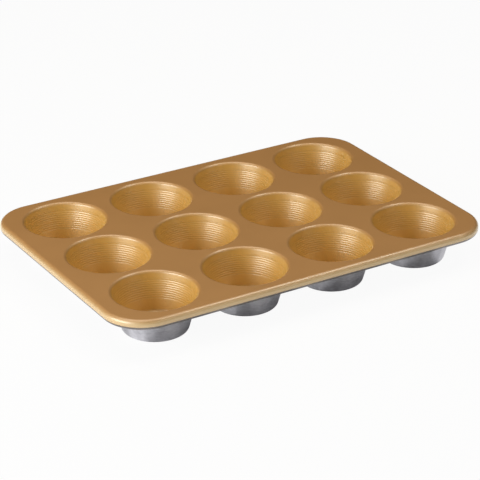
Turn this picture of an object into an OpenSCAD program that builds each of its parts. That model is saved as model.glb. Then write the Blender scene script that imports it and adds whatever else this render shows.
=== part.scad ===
// Muffin tin: a pressed deck with a wired rim, and separately drawn cups seamed into its mouths.
// Millimetres, +Z up, origin on the table under the middle of the tin, +Y towards the back row.

/* [Layout] */
// Cups along the long side
cols = 4; // [2:1:6]
// Distance between cup centres along the long side
pitch_x = 86; // [80:0.5:110]
// Distance between cup centres from front to back
pitch_y = 79.5; // [79:0.5:110]
// Distance from the end cups' centres to the short edges
end_margin = 53.3; // [46:0.1:80]
// Distance from the outer rows' centres to the long edges
side_margin = 47; // [46:0.1:80]
// Radius of the tin's corners in plan
corner_r = 35.4; // [24:0.1:40]

/* [Sheet and rim] */
// Thickness of the steel sheet
sheet_t = 0.8; // [0.6:0.05:0.9]
// Radius of the bend between the deck and its skirt
edge_r = 4; // [2:0.1:4.5]
// Height of the skirt, from the deck's top to the underside of the rolled edge
skirt_h = 8.8; // [8.6:0.1:16]
// Diameter of the wire inside the rolled edge
wire_d = 5; // [2:0.1:5.6]
// How far round the wire the sheet is rolled, in degrees
roll_angle = 280; // [190:1:290]
// Gap between the wire's two ends, in the middle of the back edge
wire_gap = 1; // [0.5:0.1:4]

/* [Cups] */
// Overall height, from the cups' undersides to the deck's top
tin_h = 34; // [30:0.5:60]
// Inside radius of a mouth, where its lip runs into the wall
mouth_r = 35.2; // [33:0.1:35.5]
// Radius of the rounded lip
lip_r = 3; // [2:0.1:3.2]
// Lean of a cup's wall from upright, in degrees
taper = 15; // [5:0.5:18]
// Outside radius of the bend between a cup's wall and its floor
floor_bend_r = 3.5; // [2:0.1:6]

/* [Seam] */
// Depth of the seam below the deck's top
seam_depth = 6; // [5.5:0.1:7]
// Width of the deck's flange that the cup's hem is folded round
seam_w = 3; // [2.5:0.1:3.4]
// Clearance between sheets in the seam, and round the wire
fit = 0.05; // [0.02:0.01:0.1]

/* [Ribs] */
// Number of pressed ribs round a cup's wall
rib_count = 9; // [1:1:12]
// Depth of the first rib below the deck's top
rib_start = 6.4; // [6.4:0.1:9]
// Height of one rib
rib_pitch = 1.82; // [1:0.02:1.9]
// How far a rib is pressed outwards
rib_depth = 0.15; // [0.1:0.05:0.4]

/* [Hidden] */
$fn = 72;
gold = "#A9794A";
bare_steel = "#A3A1A6";
wire_steel = "#77757A";
ROWS = ["front", "middle", "back"];

// Plan of the deck, and the place of each cup
tin_w = (cols - 1) * pitch_x + 2 * end_margin;
tin_d = (len(ROWS) - 1) * pitch_y + 2 * side_margin;
function cup_at(row, col) = [
    (col - (cols - 1) / 2) * pitch_x,
    (row - (len(ROWS) - 1) / 2) * pitch_y
];

// Rolled edge round the wire, measured inwards from the skirt's outer face
wire_r = wire_d / 2;
bead_r = wire_r + fit + sheet_t;
bead_z = tin_h - skirt_h + bead_r;

// Inner face of a cup's wall, and its radius at any height
wall_w = sheet_t / cos(taper);
lip_x = mouth_r + lip_r * cos(taper);
lip_z = tin_h - lip_r;
wall_top_z = lip_z + lip_r * sin(taper);
function wall_r(z) = mouth_r - (wall_top_z - z) * tan(taper);

// Seam between a mouth's collar and its cup
seam_z = tin_h - seam_depth;
flange_r = wall_r(seam_z) + seam_w;
hem_r = flange_r + fit + sheet_t;
hem_top_z = seam_z + 2 * sheet_t + fit;
fold_r = wall_r(hem_top_z) + wall_w + 4 * fit;
cup_top_z = seam_z - fit;

// Bend between a cup's wall and its floor
bend_in_r = floor_bend_r - sheet_t;
bend_x = wall_r(floor_bend_r - bend_in_r * sin(taper)) - bend_in_r * cos(taper);

// Points down a ribbed wall, each rib a shallow outward fold, moved out by some part of the sheet
function rib_face(out) = [
    for (i = [0 : 2 * rib_count])
        let (z = tin_h - rib_start - i * rib_pitch / 2)
            [wall_r(z) + out + (i % 2) * rib_depth, z]
];
// A point on the bend's radius r, where the bend runs into the wall
function bend_end(r) = [bend_x + r * cos(taper), floor_bend_r - r * sin(taper)];

// A slice of a disc of radius r between two directions under 180 degrees apart
module sector(r, from, to) {
    mid = (from + to) / 2;
    reach = 1.5 * r / cos((to - from) / 2);
    intersection() {
        circle(r);
        polygon([
            [0, 0],
            reach * [cos(from), sin(from)],
            reach * [cos(mid), sin(mid)],
            reach * [cos(to), sin(to)]
        ]);
    }
}

// A bent strip of sheet with outer radius r between two directions
module bent_sheet(r, from, to) {
    difference() {
        sector(r, from, to);
        circle(r - sheet_t);
    }
}

module rounded_plan(inset) {
    w = tin_w - 2 * inset;
    d = tin_d - 2 * inset;
    r = corner_r - inset;
    square([w - 2 * r, d], center = true);
    square([w, d - 2 * r], center = true);
    for (sx = [-1, 1], sy = [-1, 1])
        translate([sx * (w / 2 - r), sy * (d / 2 - r)]) circle(r);
}

// Carries a section round the tin's outline. The section's x is 0 on the outline and negative inside it.
module round_outline(back_gap = 0) {
    run_x = tin_w - 2 * corner_r;
    run_y = tin_d - 2 * corner_r;
    for (sx = [-1, 1], sy = [-1, 1])
        translate([sx * run_x / 2, sy * run_y / 2])
            rotate(atan2(sy, sx) - 45) rotate_extrude(angle = 90) translate([corner_r, 0]) children();
    for (s = [0, 180])
        rotate(s) translate([tin_w / 2, run_y / 2]) rotate([90, 0, 0]) linear_extrude(run_y) children();
    rotate(-90) translate([tin_d / 2, run_x / 2]) rotate([90, 0, 0]) linear_extrude(run_x) children();
    side_run = (run_x - back_gap) / 2;
    for (x = [run_x / 2, -back_gap / 2])
        translate([x, tin_d / 2]) rotate([90, 0, -90]) mirror([1, 0]) linear_extrude(side_run) children();
}

// Section of the rim: the edge bend, the skirt and the edge rolled inwards round the wire
module rim_section() {
    translate([-edge_r, tin_h - edge_r]) bent_sheet(edge_r, 0, 90);
    translate([-sheet_t, bead_z]) square([sheet_t, skirt_h - edge_r - bead_r]);
    translate([-bead_r, bead_z])
        for (half = [0, 1])
            bent_sheet(bead_r, -roll_angle * (half + 1) / 2, -roll_angle * half / 2);
}

// Section of a mouth: the lip, the collar and the flange under the deck
module mouth_section() {
    translate([lip_x, lip_z]) bent_sheet(lip_r, 90, 180 - taper);
    polygon([
        [mouth_r, wall_top_z],
        [wall_r(seam_z), seam_z],
        [flange_r, seam_z],
        [flange_r, seam_z + sheet_t],
        [wall_r(seam_z + sheet_t) + wall_w, seam_z + sheet_t],
        [mouth_r + sheet_t * cos(taper), wall_top_z - sheet_t * sin(taper)]
    ]);
}

module deck() {
    color(gold) {
        translate([0, 0, tin_h - sheet_t]) linear_extrude(sheet_t) difference() {
            rounded_plan(edge_r);
            for (row = [0 : len(ROWS) - 1], col = [0 : cols - 1])
                translate(cup_at(row, col)) circle(lip_x);
        }
        for (row = [0 : len(ROWS) - 1], col = [0 : cols - 1])
            translate(cup_at(row, col)) rotate_extrude() mouth_section();
        round_outline() rim_section();
    }
}

module rim_wire() {
    color(wire_steel) round_outline(back_gap = wire_gap) translate([-bead_r, bead_z]) circle(wire_r);
}

// Filled outline of a cup's outside, with the hem that is folded round the deck's flange
module cup_outside() {
    translate([bend_x, floor_bend_r]) sector(floor_bend_r, -90, -taper);
    polygon(concat(
        [[0, cup_top_z], [0, 0], [bend_x, 0], [bend_x, floor_bend_r], bend_end(floor_bend_r)],
        [for (i = [2 * rib_count : -1 : 0]) rib_face(wall_w)[i]],
        [
            [wall_r(cup_top_z - sheet_t) + wall_w, cup_top_z - sheet_t],
            [hem_r, cup_top_z - sheet_t],
            [hem_r, hem_top_z],
            [fold_r, hem_top_z],
            [fold_r, hem_top_z - sheet_t],
            [hem_r - sheet_t, hem_top_z - sheet_t],
            [hem_r - sheet_t, cup_top_z]
        ]
    ));
}

// Filled outline of the space in a cup, up past its seam
module cup_inside() {
    translate([bend_x, floor_bend_r]) sector(bend_in_r, -90, -taper);
    polygon(concat(
        [[0, tin_h], [0, sheet_t], [bend_x, sheet_t], [bend_x, floor_bend_r], bend_end(bend_in_r)],
        [for (i = [2 * rib_count : -1 : 0]) rib_face(0)[i]],
        [[wall_r(cup_top_z), cup_top_z], [wall_r(cup_top_z), tin_h]]
    ));
}

module cup() {
    difference() {
        color(bare_steel) rotate_extrude() cup_outside();
        color(gold) rotate_extrude() cup_inside();
    }
}

deck();
rim_wire();
for (row = [0 : len(ROWS) - 1], col = [0 : cols - 1])
    translate(cup_at(row, col)) cup();
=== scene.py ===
"""A muffin tin: a gold-coated deck with a wired rim, and ribbed cups seamed into its mouths."""
import math

import bmesh
import bpy
from bpy.props import FloatProperty, FloatVectorProperty, IntProperty, PointerProperty
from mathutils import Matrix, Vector
from mathutils.geometry import delaunay_2d_cdt


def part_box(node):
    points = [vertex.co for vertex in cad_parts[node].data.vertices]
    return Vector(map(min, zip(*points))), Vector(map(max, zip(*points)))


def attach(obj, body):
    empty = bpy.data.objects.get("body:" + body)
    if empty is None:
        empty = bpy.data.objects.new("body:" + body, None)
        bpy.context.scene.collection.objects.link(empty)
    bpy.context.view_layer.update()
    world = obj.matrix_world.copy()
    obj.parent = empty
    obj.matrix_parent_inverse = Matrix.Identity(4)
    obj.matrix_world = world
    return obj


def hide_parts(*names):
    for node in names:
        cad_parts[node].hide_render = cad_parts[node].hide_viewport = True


bl_info = {
    "name": "Muffin Tin",
    "version": (1, 0, 0),
    "blender": (4, 5, 0),
    "location": "3D View > Sidebar > Muffin Tin",
    "description": "Presses the deck, draws the ribbed cups and sets the tin on a pale studio floor",
    "category": "Object",
}

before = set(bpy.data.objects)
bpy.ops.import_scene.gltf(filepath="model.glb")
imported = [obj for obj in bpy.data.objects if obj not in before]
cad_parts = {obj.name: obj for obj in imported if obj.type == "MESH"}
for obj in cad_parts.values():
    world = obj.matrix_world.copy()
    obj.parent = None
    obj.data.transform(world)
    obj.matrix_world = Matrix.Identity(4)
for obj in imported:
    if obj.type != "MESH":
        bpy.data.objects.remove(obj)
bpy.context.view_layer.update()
MM = 0.001

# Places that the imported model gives: the deck's outline and top, and the axis of every cup
DECK_LOW, DECK_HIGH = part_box("deck")
TOP = DECK_HIGH.z
CUPS = sorted(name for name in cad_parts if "_cup_" in name)


def cup_axis(name):
    """The point on the table under the middle of a cup."""
    low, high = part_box(name)
    return Vector(((low.x + high.x) / 2, (low.y + high.y) / 2, 0))


# Sizes and colours that the panel shows

def a_length(name, description, millimetres):
    """A length, given in millimetres."""
    return FloatProperty(name=name, description=description, default=millimetres * MM, unit="LENGTH")


def an_angle(name, description, degrees):
    """An angle, given in degrees."""
    return FloatProperty(name=name, description=description, default=math.radians(degrees), unit="ROTATION")


def a_colour(name, description, default):
    """A colour, given as linear red, green and blue."""
    return FloatVectorProperty(name=name, description=description, default=default, subtype="COLOR", size=3)


class TinSizes(bpy.types.PropertyGroup):
    """Sizes of the sheet, the mouths, the cups and their ribs."""

    sheet: a_length("Sheet", "Thickness of the steel sheet", 0.8)
    corner: a_length("Corner", "Radius of the tin's corners in plan", 35.4)
    edge: a_length("Edge bend", "Radius between the deck and its skirt", 4)
    wire: a_length("Wire", "Radius of the wire in the rolled edge", 2.5)
    roll: an_angle("Roll", "How far the sheet is rolled round the wire", 280)
    fit: a_length("Fit", "Clearance in the seams and round the wire", 0.05)
    mouth: a_length("Mouth", "Inside radius where a lip runs into the wall", 35.2)
    lip: a_length("Lip", "Radius of the rounded lip", 3)
    taper: an_angle("Taper", "Lean of a cup's wall", 15)
    seam_depth: a_length("Seam depth", "Depth of the seam below the deck", 6)
    seam_width: a_length("Seam width", "Width of the flange in the seam", 3)
    seam_round: a_length("Seam rounding", "Radius of the two sheets' edges at the seam", 0.05)
    floor_bend: a_length("Floor bend", "Outside radius between a cup's wall and floor", 3.5)
    rib_count: IntProperty(name="Ribs", description="Number of pressed ribs in a cup's wall", default=9)
    rib_start: a_length("First rib", "Depth of the first rib below the deck", 6.4)
    rib_pitch: a_length("Rib pitch", "Height of one rib", 1.82)
    rib_depth: a_length("Rib depth", "How far a rib is pressed outwards", 0.12)
    rib_waver: FloatProperty(
        name="Rib waver", description="How far a rib wanders up and down, in ribs", default=0.3)


class TinColours(bpy.types.PropertyGroup):
    """Colours of the coating, the bare sheet and the floor."""

    gold: a_colour("Coating", "Gold-brown of the coating on the flat deck", (0.615, 0.284, 0.069))
    # A lighter, yellower gold below the deck's top: painted light for the brighter light on the lips, walls
    # and rim
    gold_painted_lighter: a_colour("Drawn coating", "Lighter gold where the sheet is drawn", (0.74, 0.396, 0.052))
    # Paler gold on the edge bend and skirt: painted reflection of the pale floor
    gold_rim_painted_reflection: a_colour("Rim coating", "Paler gold on the edge bend and skirt", (0.79, 0.51, 0.21))
    # Bright and dark ends of the bare sheet's tone: the broad upright streaks between them are painted
    # reflection, and the dark end also starts the rolled finish, painted shade
    steel: a_colour("Steel", "Bright grains of the bare sheet", (0.92, 0.91, 0.96))
    steel_shade: a_colour("Steel shade", "Dark grains of the bare sheet", (0.16, 0.155, 0.175))
    # Dark colour of the bare rolled edge and underside: painted shade for the shadowed underside of the
    # roll
    rolled: a_colour("Rolled edge", "Dulled sheet of the rolled edge and underside", (0.27, 0.225, 0.18))
    floor: a_colour("Floor", "Pale studio floor", (0.9, 0.9, 0.9))


# Outlines, in metres, as lists of points

# How finely bends, straight runs and full turns are divided
LIP_STEPS = 14
COLLAR_STEPS = 6
EDGE_STEPS = 16
SKIRT_STEPS = 4
COATED_ROLL_STEPS = 4
BARE_ROLL_STEPS = 32
CORNER_STEPS = 28
FLOOR_STEPS = 6
FLOOR_BEND_STEPS = 10
WALL_STEP = 0.2 * MM
MOUTH_TURN_STEPS = 144
CUP_TURN_STEPS = 160

# Flat strip that a bend keeps before the plain deck begins
SUPPORT = 0.4 * MM

# How far round the rolled edge the coating reaches; beyond it the roll takes the dark rolled finish,
# painted shade for its shadowed underside
COATED_ROLL = math.radians(4)

# Where the middle of a small rounding lies, as a share of its radius from both faces
ROUND_MIDDLE = 0.3

# Room between the folded edge of a hem and the collar inside it, in clearances
FOLD_ROOM = 4

# Distances, in metres, below which points of an outline or of a mesh are one
SAME_POINT = 1e-7
MERGE = 1e-6


def arc(centre, radius, start, end, steps):
    """Points on an arc between two directions, both ends included."""
    turns = [start + (end - start) * i / steps for i in range(steps + 1)]
    return [(centre[0] + radius * math.cos(a), centre[1] + radius * math.sin(a)) for a in turns]


def between(start, end, steps):
    """Points on a straight line, both ends included."""
    return [tuple(p + (q - p) * i / steps for p, q in zip(start, end)) for i in range(steps + 1)]


def no_repeats(points):
    """The points without any that repeat the one before."""
    return [p for i, p in enumerate(points) if i == 0 or math.dist(p, points[i - 1]) > SAME_POINT]


class CupShape:
    """Lines that the lip, the seam and the wall of one cup share."""

    def __init__(self, sizes):
        self.sizes = sizes
        self.lean = math.tan(sizes.taper)
        self.cos, self.sin = math.cos(sizes.taper), math.sin(sizes.taper)
        self.lip_x = sizes.mouth + sizes.lip * self.cos
        self.lip_z = TOP - sizes.lip
        self.wall_top = self.lip_z + sizes.lip * self.sin
        self.wall_width = sizes.sheet / self.cos
        self.seam = TOP - sizes.seam_depth
        self.flange = self.radius(self.seam) + sizes.seam_width
        self.bend_in = sizes.floor_bend - sizes.sheet
        bend_top = sizes.floor_bend - self.bend_in * self.sin
        self.bend_x = self.radius(bend_top) - self.bend_in * self.cos

    def radius(self, z):
        """Radius of the wall's inner face at a height."""
        return self.sizes.mouth - (self.wall_top - z) * self.lean

    def inner(self, z):
        """Point on the wall's inner face."""
        return (self.radius(z), z)

    def outer(self, z):
        """Point on the wall's outer face."""
        return (self.radius(z) + self.wall_width, z)


def mouth_section(shape):
    """Lip, collar and flange of a mouth, from the deck's top to its underside, and the coated count."""
    s = shape.sizes
    turn = math.pi - s.taper
    lip_centre = (shape.lip_x, shape.lip_z)
    edge = shape.radius(shape.seam)
    middle = ROUND_MIDDLE * s.seam_round
    coated = [(shape.lip_x + SUPPORT, TOP)]
    coated += arc(lip_centre, s.lip, math.pi / 2, turn, LIP_STEPS)
    coated += between(coated[-1], shape.inner(shape.seam + s.seam_round), COLLAR_STEPS)[1:]
    coated += [(edge + middle, shape.seam + middle), (edge + s.seam_round, shape.seam)]
    upper = shape.seam + s.sheet
    bare = [(shape.flange, shape.seam), (shape.flange, upper), shape.outer(upper)]
    bare += arc(lip_centre, s.lip - s.sheet, turn, math.pi / 2, LIP_STEPS)
    bare += [(shape.lip_x + SUPPORT, TOP - s.sheet)]
    return coated + bare, len(coated)


def rim_section(sizes):
    """Edge bend, skirt and rolled edge, from the deck's top to its underside, and the coated count."""
    s = sizes
    bead = s.wire + s.fit + s.sheet
    bead_z = DECK_LOW.z + bead
    edge_centre = (-s.edge, TOP - s.edge)
    bead_centre = (-bead, bead_z)
    coated = [(-s.edge - SUPPORT, TOP)]
    coated += arc(edge_centre, s.edge, math.pi / 2, 0, EDGE_STEPS)
    coated += between(coated[-1], (0, bead_z), SKIRT_STEPS)[1:]
    coated += arc(bead_centre, bead, 0, -COATED_ROLL, COATED_ROLL_STEPS)[1:]
    bare = arc(bead_centre, bead, -COATED_ROLL, -s.roll, BARE_ROLL_STEPS)[1:]
    bare += arc(bead_centre, bead - s.sheet, -s.roll, 0, BARE_ROLL_STEPS + COATED_ROLL_STEPS)
    bare += between(bare[-1], (-s.sheet, TOP - s.edge), SKIRT_STEPS)[1:]
    bare += arc(edge_centre, s.edge - s.sheet, 0, math.pi / 2, EDGE_STEPS)[1:]
    bare += [(-s.edge - SUPPORT, TOP - s.sheet)]
    return coated + bare, len(coated)


def cup_section(shape):
    """Inside and outside of a cup, from the middle of its floor over its hem to the middle underneath."""
    s = shape.sizes
    top = shape.seam - s.fit
    corner = shape.radius(top)
    middle = ROUND_MIDDLE * s.seam_round
    wall_steps = round((top - s.floor_bend) / WALL_STEP)
    bend = (shape.bend_x, s.floor_bend)
    inside = between((0, s.sheet), (shape.bend_x, s.sheet), FLOOR_STEPS)
    inside += arc(bend, shape.bend_in, -math.pi / 2, -s.taper, FLOOR_BEND_STEPS)[1:]
    inside += between(inside[-1], shape.inner(top - s.seam_round), wall_steps)[1:]
    inside += [(corner + middle, top - middle), (corner + s.seam_round, top)]
    hem = shape.flange + s.fit
    fold = shape.seam + s.sheet + s.fit
    fold_edge = shape.outer(fold + s.sheet)[0] + FOLD_ROOM * s.fit
    under = top - s.sheet
    outside = [(hem, top), (hem, fold), (fold_edge, fold), (fold_edge, fold + s.sheet)]
    outside += [(hem + s.sheet, fold + s.sheet), (hem + s.sheet, under), shape.outer(under)]
    outer_bend = arc(bend, s.floor_bend, -s.taper, -math.pi / 2, FLOOR_BEND_STEPS)
    outside += between(shape.outer(under), outer_bend[0], wall_steps)[1:]
    outside += outer_bend[1:]
    outside += between((shape.bend_x, 0), (0, 0), FLOOR_STEPS)[1:]
    return inside + outside, len(inside)


def outline_points(sizes):
    """Points round the deck's outline with the way outwards at each, counter-clockwise."""
    run = [(high - low) / 2 - sizes.corner for low, high in zip(DECK_LOW, DECK_HIGH)][:2]
    points, ways = [], []
    for corner, (sx, sy) in enumerate(((1, 1), (-1, 1), (-1, -1), (1, -1))):
        start = corner * math.pi / 2
        for way in arc((0, 0), 1, start, start + math.pi / 2, CORNER_STEPS):
            points.append((sx * run[0] + sizes.corner * way[0], sy * run[1] + sizes.corner * way[1], 0))
            ways.append((way[0], way[1], 0))
    return points, ways


# Guide meshes that the node tree reads, removed once a piece is made

def guide(name, points, vectors=None):
    """A mesh of loose points in order, with an optional direction at each."""
    mesh = bpy.data.meshes.new(name)
    mesh.from_pydata(points, [], [])
    if vectors is not None:
        ways = mesh.attributes.new("way", "FLOAT_VECTOR", "POINT")
        ways.data.foreach_set("vector", [x for v in vectors for x in v])
    piece = bpy.data.objects.new(name, mesh)
    bpy.context.scene.collection.objects.link(piece)
    return piece


def section_guide(name, section):
    """Guide for a section: x is outwards, z is up."""
    return guide(name, [(x, 0, z) for x, z in section])


def round_guide(name, steps):
    """Guide for a full turn about an axis."""
    ways = [(x, y, 0) for x, y in arc((0, 0), 1, 0, 2 * math.pi, steps)[:-1]]
    return guide(name, [(0, 0, 0)] * steps, ways)


def discard(*guides):
    """Removes guides and their meshes."""
    for piece in guides:
        mesh = piece.data
        bpy.data.objects.remove(piece)
        bpy.data.meshes.remove(mesh)


# Node trees

class Tree:
    """Short calls for building a node tree."""

    def __init__(self, tree):
        self.tree = tree

    def add(self, kind, settings=(), **inputs):
        """A new node with its settings. Each input goes by its name or, as i0 or i1, by its number."""
        made = self.tree.nodes.new(kind)
        for key, value in dict(settings).items():
            setattr(made, key, value)
        for key, value in inputs.items():
            self.feed(made.inputs[int(key[1:]) if key[1:].isdigit() else key.replace("_", " ")], value)
        return made

    def feed(self, socket, value):
        """Gives an input another node's output or a plain value."""
        if isinstance(value, bpy.types.NodeSocket):
            self.tree.links.new(value, socket)
        else:
            socket.default_value = value

    def math(self, operation, a, b=0.0, c=0.0):
        return self.add("ShaderNodeMath", {"operation": operation}, i0=a, i1=b, i2=c).outputs[0]

    def whole(self, operation, a, b=0):
        return self.add("FunctionNodeIntegerMath", {"operation": operation}, i0=a, i1=b).outputs[0]

    def vector(self, operation, a, b=(0, 0, 0)):
        return self.add("ShaderNodeVectorMath", {"operation": operation}, i0=a, i1=b).outputs[0]

    def scaled(self, a, scale):
        return self.add("ShaderNodeVectorMath", {"operation": "SCALE"}, i0=a, Scale=scale).outputs[0]

    def upwards(self, z):
        return self.add("ShaderNodeCombineXYZ", Z=z).outputs[0]


CARRY_TREE = "Section carried round a path"
TREE_INPUTS = (
    ("Path", "NodeSocketObject"), ("Section", "NodeSocketObject"), ("Places", "NodeSocketObject"),
    ("Coated rows", "NodeSocketInt"), ("Rib top", "NodeSocketFloat"), ("Rib count", "NodeSocketInt"),
    ("Rib pitch", "NodeSocketFloat"), ("Rib depth", "NodeSocketFloat"), ("Rib waver", "NodeSocketFloat"),
    ("Lean", "NodeSocketFloat"), ("Sheet", "NodeSocketFloat"), ("Seed", "NodeSocketFloat"),
    ("Rim", "NodeSocketFloat"), ("Coating", "NodeSocketMaterial"), ("Bare sheet", "NodeSocketMaterial"),
)

# Edges sharper than this stay sharp in the shading
CREASE = math.radians(38)

# How quickly the ribs wander round a cup, and where the first begins and the last ends, in ribs
WANDER_ROUND = 4.0
WANDER_SCALE = 1.3
RIB_BEGIN = (-0.15, 0.25)
RIB_END = (-0.1, 0.1)

# A face is bare where the mean of its rows comes this near to the first bare row
BARE_FROM = 0.75


def sampled(t, geometry, field, index):
    """A vector of one point of a guide, by its number."""
    kinds = {"data_type": "FLOAT_VECTOR", "domain": "POINT"}
    found = t.add("GeometryNodeSampleIndex", kinds, Geometry=geometry, Index=index)
    t.feed(next(s for s in found.inputs if s.name == "Value" and s.enabled), field)
    return next(s for s in found.outputs if s.enabled)


def soft_step(t, value, low, high, start=0.0, end=1.0):
    """A smooth change from start to end while a value goes from low to high."""
    return t.add("ShaderNodeMapRange", {"interpolation_type": "SMOOTHSTEP"}, Value=value,
                 From_Min=low, From_Max=high, To_Min=start, To_Max=end).outputs[0]


def rib_groove(t, given, row, outwards, up):
    """How far each point lies in a rib, from 0 to 1: waves of depth that wander a little round the cup."""
    is_bare = t.add("FunctionNodeCompare", {"data_type": "INT", "operation": "GREATER_EQUAL"})
    whole_inputs = [s for s in is_bare.inputs if s.enabled]
    t.feed(whole_inputs[0], row)
    t.feed(whole_inputs[1], given["Coated rows"])
    drop = t.math("MULTIPLY", t.math("SINE", given["Lean"]), given["Sheet"])
    level = t.math("ADD", up, t.math("MULTIPLY", is_bare.outputs[0], drop))
    ribs_down = t.math("DIVIDE", t.math("SUBTRACT", given["Rib top"], level), given["Rib pitch"])
    spot = t.vector("ADD", t.scaled(outwards, WANDER_ROUND), t.upwards(ribs_down))
    wander = t.add("ShaderNodeTexNoise", {"noise_dimensions": "4D"}, Vector=spot, W=given["Seed"],
                   Scale=WANDER_SCALE, Detail=2.0).outputs[0]
    shift = t.math("MULTIPLY", t.math("SUBTRACT", wander, 0.5), t.math("MULTIPLY", given["Rib waver"], 2.0))
    turn = t.math("MULTIPLY", t.math("ADD", ribs_down, shift), 2 * math.pi)
    wave = t.math("SUBTRACT", 0.5, t.math("MULTIPLY", t.math("COSINE", turn), 0.5))
    begin = soft_step(t, ribs_down, *RIB_BEGIN)
    end = soft_step(t, t.math("SUBTRACT", given["Rib count"], ribs_down), *RIB_END)
    return t.math("MULTIPLY", t.math("MULTIPLY", begin, end), wave)


def carried_section_tree():
    """Carries a section round a path at each place, presses ribs into it and coats its first rows."""
    tree = bpy.data.node_groups.new(CARRY_TREE, "GeometryNodeTree")
    tree.interface.new_socket("Geometry", in_out="OUTPUT", socket_type="NodeSocketGeometry")
    for name, kind in TREE_INPUTS:
        tree.interface.new_socket(name, in_out="INPUT", socket_type=kind)
    t = Tree(tree)
    given = t.add("NodeGroupInput").outputs
    shape = {
        name: t.add("GeometryNodeObjectInfo", Object=given[name]).outputs["Geometry"]
        for name in ("Path", "Section", "Places")
    }
    count = {
        name: t.add("GeometryNodeAttributeDomainSize", Geometry=shape[name]).outputs["Point Count"]
        for name in ("Path", "Section")
    }

    # One grid row for each point of the section, one column for each point of the path and one to close it
    columns = t.whole("ADD", count["Path"], 1)
    grid = t.add("GeometryNodeMeshGrid", Vertices_X=columns, Vertices_Y=count["Section"]).outputs["Mesh"]
    index = t.add("GeometryNodeInputIndex").outputs[0]
    row = t.whole("MODULO", index, count["Section"])
    column = t.whole("MODULO", t.whole("DIVIDE_FLOOR", index, count["Section"]), count["Path"])
    position = t.add("GeometryNodeInputPosition").outputs[0]
    way = t.add("GeometryNodeInputNamedAttribute", {"data_type": "FLOAT_VECTOR"}, Name="way").outputs[0]
    on_section = sampled(t, shape["Section"], position, row)
    on_path = sampled(t, shape["Path"], position, column)
    outwards = sampled(t, shape["Path"], way, column)
    out, _, up = t.add("ShaderNodeSeparateXYZ", Vector=on_section).outputs

    # Ribs are pressed square to the wall
    groove = rib_groove(t, given, row, outwards, up)
    press = t.math("MULTIPLY", groove, given["Rib depth"])
    wall_out = t.math("ADD", out, t.math("MULTIPLY", press, t.math("COSINE", given["Lean"])))
    wall_up = t.math("SUBTRACT", up, t.math("MULTIPLY", press, t.math("SINE", given["Lean"])))

    # Place the grid's points, and keep on each its row, its groove and its place round the axis
    placed = t.vector("ADD", on_path, t.scaled(outwards, wall_out))
    placed = t.vector("ADD", placed, t.upwards(wall_up))
    around = t.vector("ADD", outwards, t.upwards(up))
    kept = grid
    for name, value in (("row", row), ("groove", groove), ("rim", given["Rim"])):
        kept = t.add("GeometryNodeStoreNamedAttribute", {"data_type": "FLOAT", "domain": "POINT"},
                     Geometry=kept, Name=name, Value=value).outputs[0]
    kept = t.add("GeometryNodeStoreNamedAttribute", {"data_type": "FLOAT_VECTOR", "domain": "POINT"},
                 Geometry=kept, Name="turn", Value=around).outputs[0]
    moved = t.add("GeometryNodeSetPosition", Geometry=kept, Position=placed).outputs[0]
    closed = t.add("GeometryNodeMergeByDistance", Geometry=moved, Distance=MERGE).outputs[0]
    smooth = t.add("GeometryNodeSetShadeSmooth", Geometry=closed, Shade_Smooth=True).outputs[0]
    bend = t.add("GeometryNodeInputMeshEdgeAngle").outputs["Unsigned Angle"]
    creased = t.add("GeometryNodeSetShadeSmooth", {"domain": "EDGE"}, Geometry=smooth,
                    Selection=t.math("GREATER_THAN", bend, CREASE), Shade_Smooth=False).outputs[0]

    # One copy at each place, then its two finishes by row
    copies = t.add("GeometryNodeInstanceOnPoints", Points=shape["Places"], Instance=creased).outputs[0]
    real = t.add("GeometryNodeRealizeInstances", Geometry=copies).outputs[0]
    coated = t.add("GeometryNodeSetMaterial", Geometry=real, Material=given["Coating"]).outputs[0]
    rows = t.add("GeometryNodeInputNamedAttribute", {"data_type": "FLOAT"}, Name="row").outputs[0]
    below = t.math("GREATER_THAN", rows, t.math("SUBTRACT", given["Coated rows"], BARE_FROM))
    bare = t.add("GeometryNodeSetMaterial", Geometry=coated, Selection=below, Material=given["Bare sheet"])
    t.add("NodeGroupOutput", i0=bare.outputs[0])
    return tree


def carried(tree, **inputs):
    """The plain mesh that the tree makes with these inputs, given by name."""
    host = bpy.data.objects.new("carrier", bpy.data.meshes.new("carrier"))
    bpy.context.scene.collection.objects.link(host)
    modifier = host.modifiers.new("carry", "NODES")
    modifier.node_group = tree
    sockets = {s.name: s.identifier for s in tree.interface.items_tree if s.in_out == "INPUT"}
    for name, value in inputs.items():
        modifier[sockets[name.replace("_", " ")]] = value
    depsgraph = bpy.context.evaluated_depsgraph_get()
    mesh = bpy.data.meshes.new_from_object(host.evaluated_get(depsgraph), depsgraph=depsgraph)
    discard(host)
    if mesh.materials[0] is None:
        mesh.materials.pop(index=0)
    return mesh


def facing_out(mesh):
    """Merges what meets and turns every face of a closed mesh outwards."""
    work = bmesh.new()
    work.from_mesh(mesh)
    bmesh.ops.remove_doubles(work, verts=work.verts, dist=MERGE)
    bmesh.ops.recalc_face_normals(work, faces=work.faces)
    work.to_mesh(mesh)
    work.free()
    return mesh


def finished_piece(name, mesh, slot, *nodes):
    """Links a finished mesh at the origin as the piece that stands for these nodes."""
    piece = bpy.data.objects.new(name, mesh)
    bpy.context.scene.collection.objects.link(piece)
    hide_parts(*nodes)
    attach(piece, "root")
    return piece


# Finishes

# Depths below the deck between which the coating takes on its lighter tone, painted light for the brighter
# light on the lips, walls and rim
PAINTED_LIGHT_FROM = 0.1 * MM
PAINTED_LIGHT_TO = 2.5 * MM

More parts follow.
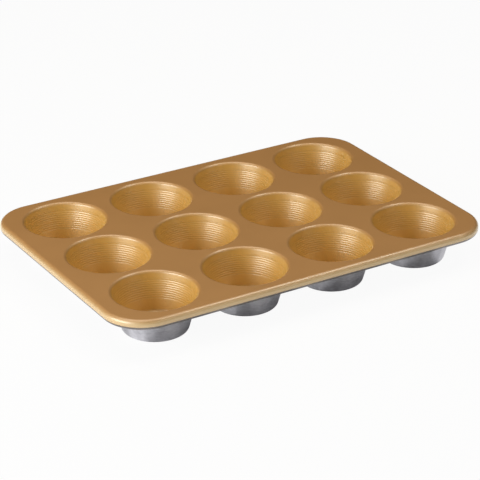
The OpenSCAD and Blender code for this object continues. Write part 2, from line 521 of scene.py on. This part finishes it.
# Coating: shares of its patches and its grain, and how far tone, grooves and roughness vary; the darker
# grooves are painted shade
PATCH_SHARE = 0.6
GRAIN_SHARE = 0.4
COATING_TONE = (0.9, 1.1)
GROOVE_PAINTED_SHADE = (1.0, 0.9)
COATING_ROUGHNESS = (0.46, 0.54)
COATING_GLOSS = {
    "Metallic": 0.08,
    "IOR": 2.5,
    "Specular Tint": (0.92, 1.0, 0.88, 1),
    "Coat Weight": 0.9,
    "Coat Roughness": 0.23,
}

# Bare sheet: how fine its drawn lines and upright streaks are, the shares of its marks, and its spread; the
# upright light and dark streaks are painted reflection
LINE_SCALE = (5.0, 5.0, 900.0)
PAINTED_STREAK_SCALE = (70.0, 70.0, 8.0)
SPANGLE_SHARE = 0.1
PAINTED_STREAK_SHARE = 0.6
LINE_SHARE = 0.3
ROUGHNESS_SPREAD = 0.04
QUARTER_TURN = 0.25

# A small step off the axis, where the way round it is undefined
OFF_AXIS = (1e-4, 0, 0)


def new_finish(name):
    """An empty material with its shader, and the helper that builds its tree."""
    if name in bpy.data.materials:
        bpy.data.materials.remove(bpy.data.materials[name])
    material = bpy.data.materials.new(name)
    material.use_nodes = True
    t = Tree(material.node_tree)
    shader = next(n for n in material.node_tree.nodes if n.type == "BSDF_PRINCIPLED")
    return material, t, shader


def ramp(t, value, low, high):
    """A colour between two, each a plain colour or a node's output, by a value from 0 to 1."""
    mix = t.add("ShaderNodeMix", {"data_type": "RGBA"}, Factor=value)
    colours = [s for s in mix.inputs if s.type == "RGBA"]
    for socket, colour in zip(colours, (low, high)):
        t.feed(socket, colour if isinstance(colour, bpy.types.NodeSocket) else (*colour, 1))
    return next(s for s in mix.outputs if s.type == "RGBA")


def spread(t, value, low, high):
    """A value from 0 to 1 moved to another range."""
    return t.add("ShaderNodeMapRange", Value=value, To_Min=low, To_Max=high).outputs[0]


def gold_coating(colours):
    """Satin gold coating with slight patches and a fine grain: lighter below the deck's top (painted
    light), paler still on the rim (a painted reflection of the pale floor) and darker in the rib grooves
    (painted shade).
    """
    material, t, shader = new_finish("gold_coating")
    place = t.add("ShaderNodeTexCoord").outputs["Object"]
    height = t.add("ShaderNodeSeparateXYZ", Vector=place).outputs[2]
    # drawn is the share of the lighter gold below the deck's top, a painted light
    drawn = t.add("ShaderNodeMapRange", Value=height, From_Min=TOP - PAINTED_LIGHT_FROM, From_Max=TOP - PAINTED_LIGHT_TO)
    patches = t.add("ShaderNodeTexNoise", Vector=place, Scale=28.0, Detail=3.0).outputs["Fac"]
    grain = t.add("ShaderNodeTexNoise", Vector=place, Scale=2600.0, Detail=2.0).outputs["Fac"]
    tone = t.math("ADD", t.math("MULTIPLY", patches, PATCH_SHARE), t.math("MULTIPLY", grain, GRAIN_SHARE))
    rim = t.add("ShaderNodeAttribute", {"attribute_name": "rim"}).outputs["Fac"]
    groove = t.add("ShaderNodeAttribute", {"attribute_name": "groove"}).outputs["Fac"]
    # bent is the lighter gold, turned paler still on the rim as a painted reflection of the pale floor
    bent = ramp(t, rim, colours.gold_painted_lighter, colours.gold_rim_painted_reflection)
    gold = ramp(t, drawn.outputs[0], colours.gold, bent)
    # The coating is darker in the rib grooves: painted shade
    level = t.math("MULTIPLY", spread(t, tone, *COATING_TONE), spread(t, groove, *GROOVE_PAINTED_SHADE))
    varied = t.add("ShaderNodeHueSaturation", Color=gold, Value=level).outputs[0]
    t.feed(shader.inputs["Base Color"], varied)
    t.feed(shader.inputs["Roughness"], spread(t, tone, *COATING_ROUGHNESS))
    for name, value in COATING_GLOSS.items():
        t.feed(shader.inputs[name], value)
    peel = t.add("ShaderNodeTexNoise", Vector=place, Scale=900.0, Detail=2.0).outputs["Fac"]
    bump = t.add("ShaderNodeBump", Strength=0.08, Distance=0.2 * MM, Height=peel).outputs[0]
    t.feed(shader.inputs["Normal"], bump)
    return material


def bare_sheet(name, shade, bright, roughness, brushed):
    """Aluminised steel: fine lines drawn round the cups, broad upright light and dark streaks that are
    painted reflection, and a faint spangle.
    """
    material, t, shader = new_finish(name)
    place = t.add("ShaderNodeTexCoord").outputs["Object"]
    turn = t.add("ShaderNodeAttribute", {"attribute_name": "turn"}).outputs["Vector"]
    drawn = t.vector("MULTIPLY", turn, LINE_SCALE)
    lines = t.add("ShaderNodeTexNoise", Vector=drawn, Scale=1.0, Detail=3.0).outputs["Fac"]
    upright = t.vector("MULTIPLY", place, PAINTED_STREAK_SCALE)
    # streaks: upright light and dark bands, painted reflection
    streaks = t.add("ShaderNodeTexNoise", Vector=upright, Scale=1.0, Detail=2.0).outputs["Fac"]
    spangle = t.add("ShaderNodeTexVoronoi", Vector=place, Scale=420.0).outputs["Color"]
    grain = t.add("ShaderNodeSeparateColor", Color=spangle).outputs[0]
    tone = t.math("MULTIPLY", grain, SPANGLE_SHARE)
    tone = t.math("ADD", tone, t.math("MULTIPLY", streaks, PAINTED_STREAK_SHARE))
    tone = t.math("ADD", tone, t.math("MULTIPLY", lines, LINE_SHARE))
    t.feed(shader.inputs["Base Color"], ramp(t, tone, shade, bright))
    rough = spread(t, grain, roughness - ROUGHNESS_SPREAD, roughness + ROUGHNESS_SPREAD)
    t.feed(shader.inputs["Roughness"], rough)
    t.feed(shader.inputs["Metallic"], 1.0)
    t.feed(shader.inputs["Anisotropic"], brushed)
    t.feed(shader.inputs["Anisotropic Rotation"], QUARTER_TURN)
    along = t.vector("ADD", t.vector("CROSS_PRODUCT", (0, 0, 1), turn), OFF_AXIS)
    t.feed(shader.inputs["Tangent"], along)
    bump = t.add("ShaderNodeBump", Strength=0.2, Distance=0.1 * MM, Height=lines).outputs[0]
    t.feed(shader.inputs["Normal"], bump)
    return material


def wire_steel(colours):
    """Drawn steel wire: fine scratches over a dull grey."""
    material, t, shader = new_finish("wire_steel")
    place = t.add("ShaderNodeTexCoord").outputs["Object"]
    scratches = t.add("ShaderNodeTexNoise", Vector=place, Scale=800.0, Detail=4.0).outputs["Fac"]
    t.feed(shader.inputs["Base Color"], ramp(t, scratches, colours.steel_shade, colours.steel))
    t.feed(shader.inputs["Roughness"], spread(t, scratches, 0.3, 0.55))
    t.feed(shader.inputs["Metallic"], 1.0)
    return material


# Pieces

# Each cup's ribs wander in their own way: the step between the seeds of two cups
SEED_STEP = 3.7


def flat_sheet(work, loops, holes, z, upwards):
    """Fills the flat between an outline and round holes, in a mesh that is being built."""
    points = [p for loop in loops for p in loop]
    edges, first = [], 0
    for loop in loops:
        edges += [(first + i, first + (i + 1) % len(loop)) for i in range(len(loop))]
        first += len(loop)
    found, _, faces, *_ = delaunay_2d_cdt([Vector(p) for p in points], edges, [], 0, SAME_POINT)
    verts = [work.verts.new((p.x, p.y, z)) for p in found]
    for face in faces:
        middle = sum((found[i] for i in face), Vector((0, 0))) / len(face)
        if all((middle - hole).length > radius for hole, radius in holes):
            made = work.faces.new([verts[i] for i in (face if upwards else reversed(face))])
            made.smooth = False
            made.material_index = 0 if upwards else 1


def deck_bends(shape, outline, outwards, finishes):
    """The bent parts of the deck as two meshes: the lips and collars of its mouths, and its rim."""
    sizes = shape.sizes
    tree = carried_section_tree()
    mouth, mouth_coated = mouth_section(shape)
    rim, rim_coated = rim_section(sizes)
    turn = round_guide("turn", MOUTH_TURN_STEPS)
    path = guide("outline", outline, outwards)
    sections = [section_guide("mouth", mouth), section_guide("rim", rim)]
    places = [guide("mouths", [cup_axis(name) for name in CUPS]), guide("middle", [(0, 0, 0)])]
    plain = {"Rib_depth": 0.0, "Rib_pitch": sizes.rib_pitch, **finishes}
    mouths = carried(
        tree, Path=turn, Section=sections[0], Places=places[0], Coated_rows=mouth_coated, **plain)
    edge = carried(
        tree, Path=path, Section=sections[1], Places=places[1], Coated_rows=rim_coated, Rim=1.0, **plain)
    discard(turn, path, *sections, *places)
    return mouths, edge


def deck_flats(work, shape, outline, outwards):
    """Fills the flats between the rim and the mouths, on top and underneath."""
    inset = shape.sizes.edge + SUPPORT
    hole = shape.lip_x + SUPPORT
    axes = [cup_axis(name).to_2d() for name in CUPS]
    edge = [(p[0] - inset * w[0], p[1] - inset * w[1]) for p, w in zip(outline, outwards)]
    loops = [no_repeats(edge)]
    loops += [arc(axis, hole, 0, 2 * math.pi, MOUTH_TURN_STEPS)[:-1] for axis in axes]
    holes = [(axis, hole) for axis in axes]
    flat_sheet(work, loops, holes, TOP, True)
    flat_sheet(work, loops, holes, TOP - shape.sizes.sheet, False)


class TIN_OT_press_deck(bpy.types.Operator):
    """Press the deck: its flat top, the lips and collars of its mouths, and its wired rim"""

    bl_idname = "tin.press_deck"
    bl_label = "Press Deck"

    def execute(self, context):
        sizes, colours = context.scene.tin_sizes, context.scene.tin_colours
        shape = CupShape(sizes)
        outline, outwards = outline_points(sizes)
        finishes = {
            "Coating": gold_coating(colours),
            # The dark rolled finish is painted shade on the underside of the roll
            "Bare_sheet": bare_sheet(
                "rolled_steel_painted_shade", colours.steel_shade, colours.rolled, roughness=0.2, brushed=0.0),
        }
        work = bmesh.new()
        for part in deck_bends(shape, outline, outwards, finishes):
            work.from_mesh(part)
            bpy.data.meshes.remove(part)
        deck_flats(work, shape, outline, outwards)
        mesh = bpy.data.meshes.new("deck_sheet")
        work.to_mesh(mesh)
        work.free()
        for finish in finishes.values():
            mesh.materials.append(finish)
        finished_piece("deck_sheet", facing_out(mesh), "deck_coating", "deck")
        return {"FINISHED"}


class TIN_OT_draw_cups(bpy.types.Operator):
    """Draw the cups: ribbed walls, coated inside and bare outside, each hemmed into its mouth"""

    bl_idname = "tin.draw_cups"
    bl_label = "Draw Cups"

    def execute(self, context):
        sizes, colours = context.scene.tin_sizes, context.scene.tin_colours
        steel = bare_sheet("drawn_steel", colours.steel_shade, colours.steel, roughness=0.36, brushed=0.95)
        section, coated = cup_section(CupShape(sizes))
        turn = round_guide("turn", CUP_TURN_STEPS)
        outline = section_guide("cup", section)
        for number, name in enumerate(CUPS):
            place = guide("place", [cup_axis(name)])
            mesh = carried(
                bpy.data.node_groups[CARRY_TREE],
                Path=turn, Section=outline, Places=place, Coated_rows=coated,
                Rib_top=TOP - sizes.rib_start, Rib_count=sizes.rib_count, Rib_pitch=sizes.rib_pitch,
                Rib_depth=sizes.rib_depth, Rib_waver=sizes.rib_waver, Lean=sizes.taper,
                Sheet=sizes.sheet, Seed=SEED_STEP * number,
                Coating=bpy.data.materials["gold_coating"], Bare_sheet=steel)
            mesh.name = name + "_drawn"
            finished_piece(name + "_drawn", facing_out(mesh), "cup_sheet", name)
            discard(place)
        discard(turn, outline)
        return {"FINISHED"}


class TIN_OT_finish_wire(bpy.types.Operator):
    """Finish the wire that lies in the rolled edge"""

    bl_idname = "tin.finish_wire"
    bl_label = "Finish Wire"

    def execute(self, context):
        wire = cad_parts["rim_wire"]
        wire.data.materials.clear()
        wire.data.materials.append(wire_steel(context.scene.tin_colours))
        return {"FINISHED"}


# Stage

# Camera at the photograph's angle: directions, distance and target in metres, and lens in millimetres
VIEW_AZIMUTH = math.radians(-31.45)
VIEW_ELEVATION = math.radians(25.56)
VIEW_DISTANCE = 1.7613
VIEW_TARGET = Vector((-0.02066, -0.03506, TOP))
LENS = 154.8

# Floor, and how white it looks to the camera and in reflections
FLOOR_RADIUS = 4.0
FLOOR_SIDES = 96
WHITE_SEEN = 0.94
WHITE_MIRRORED = 1.0

# Shade that the tin keeps on the floor beneath it and in front of it
SHADE_MIDDLE = (-0.005, -0.023, 0)
SHADE_HALF = (0.146, 0.149, 0)
SHADE_EDGE = 0.008
SHADE_LEVEL = 0.06

# Light on the floor between two cups: its level, its shift to the right, and the cosine it begins at
GAP_LEVEL = 0.55
GAP_SHIFT = 0.0065
GAP_FROM = 0.3

# Softboxes: width and height, place, power and colour
WHITE = (1.0, 1.0, 1.0)
WARM = (1.0, 0.96, 0.86)
LAMPS = {
    "key": ((1.2, 0.65), (-1.33, -0.14, 0.56), 15.3, WHITE),
    "top": ((1.1, 0.9), (-0.18, 0.2, 1.38), 6.1, WARM),
    "fill": ((0.55, 0.45), (0.68, -0.2, 1.26), 4.7, WARM),
    "front": ((1.5, 0.35), (0.65, -1.28, 0.85), 2.0, WHITE),
}

# Even light from all round
ROOM_LIGHT = 0.02


def add_camera(scene):
    """Camera at the photograph's angle."""
    flat = math.cos(VIEW_ELEVATION)
    back = Vector((math.sin(VIEW_AZIMUTH) * flat, -math.cos(VIEW_AZIMUTH) * flat, math.sin(VIEW_ELEVATION)))
    camera = bpy.data.objects.new("camera", bpy.data.cameras.new("camera"))
    camera.data.lens = LENS
    camera.location = VIEW_TARGET + back * VIEW_DISTANCE
    camera.rotation_euler = back.to_track_quat("Z", "Y").to_euler()
    scene.collection.objects.link(camera)
    scene.camera = camera


def add_softbox(scene, name, size, place, power, colour):
    """A rectangular lamp that points at the middle of the tin."""
    lamp = bpy.data.lights.new(name, "AREA")
    lamp.shape = "RECTANGLE"
    lamp.size, lamp.size_y = size
    lamp.energy = power
    lamp.color = colour
    box = bpy.data.objects.new(name, lamp)
    box.location = place
    box.rotation_euler = Vector(place).to_track_quat("Z", "Y").to_euler()
    box.visible_camera = False
    scene.collection.objects.link(box)


def out_of_shade(t):
    """Light on the floor: SHADE_LEVEL in the tin's shade, brighter between the cups, 1 well outside it."""
    place = t.add("ShaderNodeTexCoord").outputs["Object"]
    away = t.vector("ABSOLUTE", t.vector("SUBTRACT", place, SHADE_MIDDLE))
    x, y, _ = t.add("ShaderNodeSeparateXYZ", Vector=t.vector("SUBTRACT", away, SHADE_HALF)).outputs
    outside = soft_step(t, t.math("MAXIMUM", x, y), -SHADE_EDGE, SHADE_EDGE, start=SHADE_LEVEL)
    pitch = cup_axis("front_cup_2").x - cup_axis("front_cup_1").x
    along = t.math("SUBTRACT", t.add("ShaderNodeSeparateXYZ", Vector=place).outputs[0], GAP_SHIFT)
    beat = t.math("COSINE", t.math("MULTIPLY", along, 2 * math.pi / pitch))
    gaps = soft_step(t, beat, GAP_FROM, 1.0, end=GAP_LEVEL)
    return t.math("MAXIMUM", outside, gaps)


def white_background(t, lit):
    """A shader that is white to the camera and, out of the shade, in reflections, and otherwise lit."""
    path = t.add("ShaderNodeLightPath").outputs
    mirrored = t.math("MAXIMUM", path["Is Glossy Ray"], path["Is Transmission Ray"])
    mirrored = t.math("MULTIPLY", mirrored, t.math("MULTIPLY", out_of_shade(t), WHITE_MIRRORED))
    seen = t.math("MULTIPLY", path["Is Camera Ray"], WHITE_SEEN)
    share = t.math("MAXIMUM", seen, mirrored)
    white = t.add("ShaderNodeEmission", Color=(*WHITE, 1), Strength=1.0).outputs[0]
    return t.add("ShaderNodeMixShader", i0=share, i1=lit, i2=white).outputs[0]


def add_floor(scene, colour):
    """A wide pale floor that keeps a faint shadow."""
    work = bmesh.new()
    bmesh.ops.create_circle(work, cap_ends=True, segments=FLOOR_SIDES, radius=FLOOR_RADIUS)
    mesh = bpy.data.meshes.new("floor")
    work.to_mesh(mesh)
    work.free()
    material = bpy.data.materials.new("pale_floor")
    material.use_nodes = True
    material.node_tree.nodes.clear()
    t = Tree(material.node_tree)
    lit = t.add("ShaderNodeBsdfDiffuse", Color=(*colour, 1)).outputs[0]
    t.add("ShaderNodeOutputMaterial", Surface=white_background(t, lit))
    mesh.materials.append(material)
    floor = bpy.data.objects.new("floor", mesh)
    scene.collection.objects.link(floor)


def add_world(scene):
    """Even studio light, white where the camera sees past the floor."""
    world = bpy.data.worlds.new("studio")
    world.use_nodes = True
    world.node_tree.nodes.clear()
    t = Tree(world.node_tree)
    path = t.add("ShaderNodeLightPath").outputs
    room = t.add("ShaderNodeBackground", Color=(*WHITE, 1), Strength=ROOM_LIGHT).outputs[0]
    white = t.add("ShaderNodeBackground", Color=(*WHITE, 1), Strength=1.0).outputs[0]
    mixed = t.add("ShaderNodeMixShader", i0=path["Is Camera Ray"], i1=room, i2=white).outputs[0]
    t.add("ShaderNodeOutputWorld", Surface=mixed)
    scene.world = world


class TIN_OT_set_stage(bpy.types.Operator):
    """Set the stage: camera, pale floor, studio lamps and even light"""

    bl_idname = "tin.set_stage"
    bl_label = "Set Stage"

    def execute(self, context):
        scene = context.scene
        scene.view_settings.view_transform = "Standard"
        add_camera(scene)
        add_floor(scene, scene.tin_colours.floor)
        add_world(scene)
        for name, (size, place, power, colour) in LAMPS.items():
            add_softbox(scene, name, size, place, power, colour)
        return {"FINISHED"}


class TIN_PT_panel(bpy.types.Panel):
    """Steps that make the tin, and its sizes and colours"""

    bl_label = "Muffin Tin"
    bl_space_type = "VIEW_3D"
    bl_region_type = "UI"
    bl_category = "Muffin Tin"

    def draw(self, context):
        for step in STEPS:
            self.layout.operator(step.bl_idname)
        for group in (context.scene.tin_sizes, context.scene.tin_colours):
            box = self.layout.box()
            for key in group.__annotations__:
                box.prop(group, key)


STEPS = (TIN_OT_set_stage, TIN_OT_press_deck, TIN_OT_draw_cups, TIN_OT_finish_wire)
CLASSES = (TinSizes, TinColours, *STEPS, TIN_PT_panel)


def register():
    for cls in CLASSES:
        bpy.utils.register_class(cls)
    bpy.types.Scene.tin_sizes = PointerProperty(type=TinSizes)
    bpy.types.Scene.tin_colours = PointerProperty(type=TinColours)


def unregister():
    del bpy.types.Scene.tin_colours
    del bpy.types.Scene.tin_sizes
    for cls in reversed(CLASSES):
        bpy.utils.unregister_class(cls)


def main():
    register()
    bpy.ops.tin.set_stage()
    bpy.ops.tin.press_deck()
    bpy.ops.tin.draw_cups()
    bpy.ops.tin.finish_wire()


if __name__ == "__main__":
    main()
